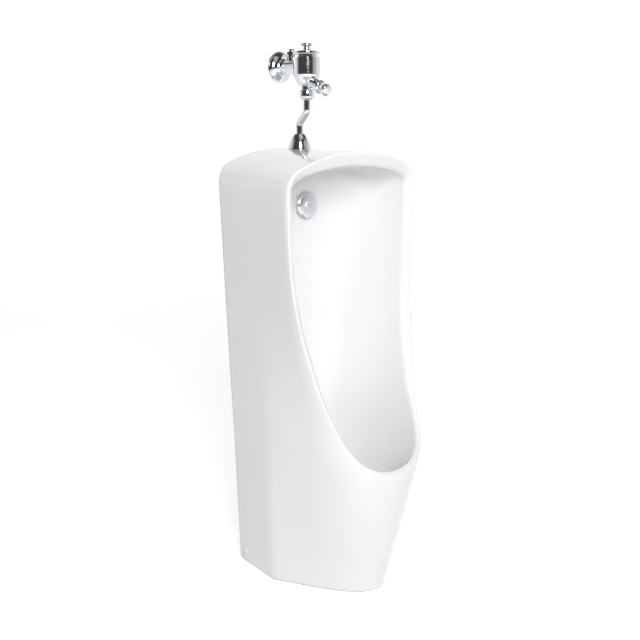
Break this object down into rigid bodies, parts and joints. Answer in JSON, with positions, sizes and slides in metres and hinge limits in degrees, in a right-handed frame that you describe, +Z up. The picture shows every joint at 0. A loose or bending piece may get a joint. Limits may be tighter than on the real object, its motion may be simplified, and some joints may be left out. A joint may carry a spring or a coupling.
{
  "type": "floor-standing urinal",
  "caption": "Floor-standing white ceramic urinal with a tall open bowl, a chrome spreader and an exposed push-button flush valve on a bent flush pipe above it.",
  "frame": {"origin": "on the finished floor, at the middle of the back of the ceramic, which is the plane of the finished wall", "axes": "+X to the right seen from the front, +Y into the wall, +Z up"},
  "size_m": [0.373, 0.4089, 1.1669],
  "materials": {
    "glazed_ceramic": "white glaze",
    "chrome": "polished chrome plate",
    "strainer_chrome": "polished chrome plate",
    "spreader_chrome": "satin chrome plate",
    "brass": "machined brass",
    "rubber": "black moulded rubber",
    "drain_plastic": "white moulded polypropylene",
    "white_plastic": "white gloss cap",
    "zinc_steel": "zinc-plated steel",
    "spring_steel": "drawn spring wire"
  },
  "bodies": {
    "urinal": {"urinal_body": "glazed_ceramic", "drain_tail": "brass", "drain_gasket": "rubber", "drain_nut": "drain_plastic", "trap_body": "drain_plastic", "trap_nut": "drain_plastic", "trap_cup": "drain_plastic", "trap_ring": "rubber", "outlet_pipe": "drain_plastic", "outlet_collar": "rubber", "wall_screws": "zinc_steel", "inlet_spud": "brass", "spud_washer": "rubber", "spud_gasket": "rubber", "spud_nut": "brass", "feed_pipe": "brass", "spreader_spud": "brass", "spreader_gasket": "rubber", "spreader_nut": "brass", "spreader_cap": "spreader_chrome", "cone_cover": "chrome", "flush_pipe": "chrome", "coupling_nut": "chrome", "coupling_washer": "rubber", "valve_body": "chrome", "valve_cap": "chrome", "seat_washer": "rubber", "button_bush": "chrome", "button_packing": "rubber", "stop_gland": "chrome", "inlet_nut": "chrome", "supply_nipple": "brass", "wall_flange": "chrome", "side_bracket_left": "zinc_steel", "side_bracket_right": "zinc_steel", "side_screw_left": "zinc_steel", "side_screw_right": "zinc_steel", "side_cap_left": "white_plastic", "side_cap_right": "white_plastic", "wall_hanger_left": "zinc_steel", "wall_hanger_right": "zinc_steel"},
    "strainer": {"drain_strainer": "strainer_chrome"},
    "button": {"push_button": "chrome", "button_spring": "spring_steel"},
    "piston": {"flush_piston": "brass", "piston_spring": "spring_steel"},
    "relief": {"relief_valve": "brass"},
    "knob": {"adjusting_knob": "chrome"},
    "lift_stop": {"lift_stem": "brass"},
    "stop_screw": {"stop_spindle": "chrome"},
    "stop_seat": {"stop_plug": "brass"}
  },
  "joints": [
    {"name": "strainer_lift", "type": "slide", "parent": "urinal", "child": "strainer", "axis": [0, 0, 1], "range_m": [0, 0.06]},
    {"name": "button_push", "type": "slide", "parent": "urinal", "child": "button", "axis": [0, 0.9397, 0.342], "range_m": [0, 0.007], "stiffness_N_per_m": 500, "springref_m": -0.004, "deforming": ["button_spring"]},
    {"name": "piston_lift", "type": "slide", "parent": "urinal", "child": "piston", "axis": [0, 0, 1], "range_m": [0, 0.004], "stiffness_N_per_m": 400, "springref_m": -0.008, "deforming": ["piston_spring"]},
    {"name": "relief_lift", "type": "slide", "parent": "piston", "child": "relief", "axis": [0, 0, 1], "range_m": [0, 0.002]},
    {"name": "knob_turn", "type": "hinge", "parent": "urinal", "child": "knob", "pos_m": [0, -0.087, 1.16], "axis": [0, 0, 1], "range_deg": [0, 720]},
    {"name": "lift_stop_move", "type": "slide", "parent": "urinal", "child": "lift_stop", "axis": [0, 0, -1], "range_m": [0, 0.003]},
    {"name": "stop_turn", "type": "hinge", "parent": "urinal", "child": "stop_screw", "pos_m": [0, -0.04, 1.15], "axis": [0, 0, 1], "range_deg": [0, 1440]},
    {"name": "stop_close", "type": "slide", "parent": "urinal", "child": "stop_seat", "axis": [0, 0, -1], "range_m": [0, 0.006]}
  ],
  "couplings": [
    {"joint": "lift_stop_move", "follows": "knob_turn", "m_per_rad": 0.00023873},
    {"joint": "stop_close", "follows": "stop_turn", "m_per_rad": 0.00023873}
  ]
}
